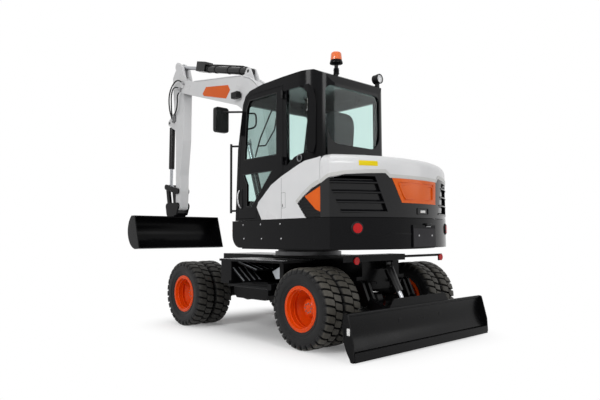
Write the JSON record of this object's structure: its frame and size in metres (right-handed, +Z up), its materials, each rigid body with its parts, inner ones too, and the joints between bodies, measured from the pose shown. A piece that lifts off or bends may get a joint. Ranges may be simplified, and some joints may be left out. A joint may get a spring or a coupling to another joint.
{
  "type": "wheeled excavator",
  "caption": "Compact wheeled excavator with twin wheels, rear dozer blade, slewing upper with cab, swing boom, arm and ditching bucket.",
  "frame": {"origin": "on the ground under the slew axis", "axes": "+X forward along the machine, +Y to the machine's left, +Z up"},
  "size_m": [5.009, 2.2795, 3.894],
  "materials": {
    "body_black": "gloss",
    "body_white": "gloss",
    "cab_glass": "clear",
    "cylinder_black": "satin",
    "engine_iron": "cast",
    "frame_black": "satin",
    "hose_rubber": "matte",
    "lamp_amber": "clear",
    "lamp_red": "clear",
    "panel_orange": "gloss",
    "rim_orange": "satin",
    "ring_steel": "machined",
    "rod_chrome": "polished",
    "seat_fabric": "woven",
    "trim_black": "matte",
    "tyre_rubber": "matte"
  },
  "bodies": {
    "undercarriage": {"chassis_frame": "frame_black", "rear_axle": "frame_black", "front_axle": "frame_black", "drive_unit": "frame_black", "steps": "frame_black", "slew_ring": "ring_steel", "rear_step": "frame_black", "reflectors": "lamp_red"},
    "knuckle_left": {"knuckle_left": "frame_black"},
    "knuckle_right": {"knuckle_right": "frame_black"},
    "wheel_front_left": {"rims_front_left": "rim_orange", "tyres_front_left": "tyre_rubber"},
    "wheel_front_right": {"rims_front_right": "rim_orange", "tyres_front_right": "tyre_rubber"},
    "wheel_rear_left": {"rims_rear_left": "rim_orange", "tyres_rear_left": "tyre_rubber"},
    "wheel_rear_right": {"rims_rear_right": "rim_orange", "tyres_rear_right": "tyre_rubber"},
    "blade": {"blade": "frame_black"},
    "blade_cylinder_tube": {"blade_cylinder_tube": "cylinder_black"},
    "blade_cylinder_rod": {"blade_cylinder_rod": "rod_chrome"},
    "upper": {"upper_frame": "frame_black", "skirt": "body_black", "counterweight": "body_black", "engine_block": "engine_iron", "side_cover_left": "body_white", "side_louvre": "trim_black", "side_accent": "panel_orange", "side_cover_right": "body_white", "cab_frame": "body_black", "cab_roof": "body_black", "cab_glass": "cab_glass", "seat": "seat_fabric", "controls": "trim_black", "handrail": "trim_black", "mirror": "trim_black", "beacon": "lamp_amber", "work_lamp": "trim_black", "tail_lamps": "lamp_red"},
    "cab_door": {"cab_door": "body_black", "door_glass": "cab_glass"},
    "tail_cover": {"tail_hood": "body_white", "tail_band": "body_black", "tail_panel": "panel_orange"},
    "swing_post": {"swing_post": "frame_black"},
    "boom": {"boom": "body_white", "boom_lamp": "trim_black"},
    "boom_cylinder_tube": {"boom_cylinder_tube": "cylinder_black"},
    "boom_cylinder_rod": {"boom_cylinder_rod": "rod_chrome"},
    "arm": {"arm": "body_white", "arm_hoses": "hose_rubber"},
    "arm_cylinder_tube": {"arm_cylinder_tube": "cylinder_black"},
    "arm_cylinder_rod": {"arm_cylinder_rod": "rod_chrome"},
    "bucket_cylinder_tube": {"bucket_cylinder_tube": "cylinder_black"},
    "bucket_cylinder_rod": {"bucket_cylinder_rod": "rod_chrome"},
    "rocker": {"rocker": "frame_black"},
    "bucket_link": {"bucket_link": "frame_black"},
    "bucket": {"bucket": "frame_black"}
  },
  "joints": [
    {"name": "slew", "type": "hinge", "parent": "undercarriage", "child": "upper", "pos_m": [0, 0, 0.92], "axis": [0, 0, 1], "continuous": true},
    {"name": "steer_left", "type": "hinge", "parent": "undercarriage", "child": "knuckle_left", "pos_m": [1.15, 0.45, 0.39], "axis": [0, 0, 1], "range_deg": [-25, 25]},
    {"name": "steer_right", "type": "hinge", "parent": "undercarriage", "child": "knuckle_right", "pos_m": [1.15, -0.45, 0.39], "axis": [0, 0, 1], "range_deg": [-25, 25]},
    {"name": "wheel_front_left_spin", "type": "hinge", "parent": "knuckle_left", "child": "wheel_front_left", "pos_m": [1.15, 0.8, 0.39], "axis": [0, 1, 0], "continuous": true},
    {"name": "wheel_front_right_spin", "type": "hinge", "parent": "knuckle_right", "child": "wheel_front_right", "pos_m": [1.15, -0.8, 0.39], "axis": [0, 1, 0], "continuous": true},
    {"name": "wheel_rear_left_spin", "type": "hinge", "parent": "undercarriage", "child": "wheel_rear_left", "pos_m": [-0.95, 0.8, 0.39], "axis": [0, 1, 0], "continuous": true},
    {"name": "wheel_rear_right_spin", "type": "hinge", "parent": "undercarriage", "child": "wheel_rear_right", "pos_m": [-0.95, -0.8, 0.39], "axis": [0, 1, 0], "continuous": true},
    {"name": "blade_lift", "type": "hinge", "parent": "undercarriage", "child": "blade", "pos_m": [-1.205, 0, 0.43], "axis": [0, 1, 0], "range_deg": [-14, 35]},
    {"name": "blade_cylinder_pivot", "type": "hinge", "parent": "undercarriage", "child": "blade_cylinder_tube", "pos_m": [-1.178, 0, 0.8], "axis": [0, 1, 0], "range_deg": [-8, 16]},
    {"name": "blade_cylinder_slide", "type": "slide", "parent": "blade_cylinder_tube", "child": "blade_cylinder_rod", "axis": [-0.4725, 0, -0.8813], "range_m": [-0.115, 0.045]},
    {"name": "door", "type": "hinge", "parent": "upper", "child": "cab_door", "pos_m": [-0.626, 0.952, 2.14], "axis": [0, 0, 1], "range_deg": [0, 165]},
    {"name": "tail_cover_hinge", "type": "hinge", "parent": "upper", "child": "tail_cover", "pos_m": [-1.156, -0.968, 1.45], "axis": [0, 0, 1], "range_deg": [0, 75]},
    {"name": "boom_swing", "type": "hinge", "parent": "upper", "child": "swing_post", "pos_m": [0.335, 0, 1.09], "axis": [0, 0, -1], "range_deg": [-70, 50]},
    {"name": "boom_lift", "type": "hinge", "parent": "swing_post", "child": "boom", "pos_m": [0.52, 0, 1.28], "axis": [0, -1, 0], "range_deg": [-75, 14]},
    {"name": "boom_cylinder_pivot", "type": "hinge", "parent": "swing_post", "child": "boom_cylinder_tube", "pos_m": [0.72, 0, 1.01], "axis": [0, -1, 0], "range_deg": [-80, 16]},
    {"name": "boom_cylinder_slide", "type": "slide", "parent": "boom_cylinder_tube", "child": "boom_cylinder_rod", "axis": [0.3183, 0, 0.948], "range_m": [-0.42, 0.085]},
    {"name": "arm_reach", "type": "hinge", "parent": "boom", "child": "arm", "pos_m": [2.74, 0, 3.45], "axis": [0, 1, 0], "range_deg": [-60, 28]},
    {"name": "arm_cylinder_pivot", "type": "hinge", "parent": "boom", "child": "arm_cylinder_tube", "pos_m": [1.12, 0, 3.345], "axis": [0, 1, 0], "range_deg": [-10, 6]},
    {"name": "arm_cylinder_slide", "type": "slide", "parent": "arm_cylinder_tube", "child": "arm_cylinder_rod", "axis": [0.9672, 0, 0.2539], "range_m": [-0.43, 0.21]},
    {"name": "bucket_curl", "type": "hinge", "parent": "arm", "child": "bucket", "pos_m": [2.92, 0, 1.57], "axis": [0, -1, 0], "range_deg": [-85, 50]},
    {"name": "rocker_pivot", "type": "hinge", "parent": "arm", "child": "rocker", "pos_m": [2.912, 0, 1.806], "axis": [0, -1, 0], "range_deg": [-68, 42]},
    {"name": "link_pivot", "type": "hinge", "parent": "rocker", "child": "bucket_link", "pos_m": [3.262, 0, 1.895], "axis": [0, -1, 0], "range_deg": [-28, 46]},
    {"name": "bucket_cylinder_pivot", "type": "hinge", "parent": "arm", "child": "bucket_cylinder_tube", "pos_m": [3.24, 0, 2.95], "axis": [0, -1, 0], "range_deg": [-2, 2]},
    {"name": "bucket_cylinder_slide", "type": "slide", "parent": "bucket_cylinder_tube", "child": "bucket_cylinder_rod", "axis": [0.0208, 0, -0.9998], "range_m": [-0.235, 0.39]}
  ],
  "couplings": [
    {"joint": "steer_right", "follows": "steer_left", "ratio": 1},
    {"joint": "blade_cylinder_pivot", "follows": "blade_lift", "ratio": 0.3422},
    {"joint": "blade_cylinder_slide", "follows": "blade_lift", "m_per_rad": -0.1754},
    {"joint": "boom_cylinder_pivot", "follows": "boom_lift", "ratio": 0.9707},
    {"joint": "boom_cylinder_slide", "follows": "boom_lift", "m_per_rad": 0.3153},
    {"joint": "arm_cylinder_pivot", "follows": "arm_reach", "ratio": 0.1139},
    {"joint": "arm_cylinder_slide", "follows": "arm_reach", "m_per_rad": 0.3775},
    {"joint": "rocker_pivot", "follows": "bucket_curl", "ratio": 0.782},
    {"joint": "link_pivot", "follows": "bucket_curl", "ratio": -0.5105},
    {"joint": "bucket_cylinder_pivot", "follows": "bucket_curl", "ratio": -0.0107},
    {"joint": "bucket_cylinder_slide", "follows": "bucket_curl", "m_per_rad": -0.2595}
  ]
}
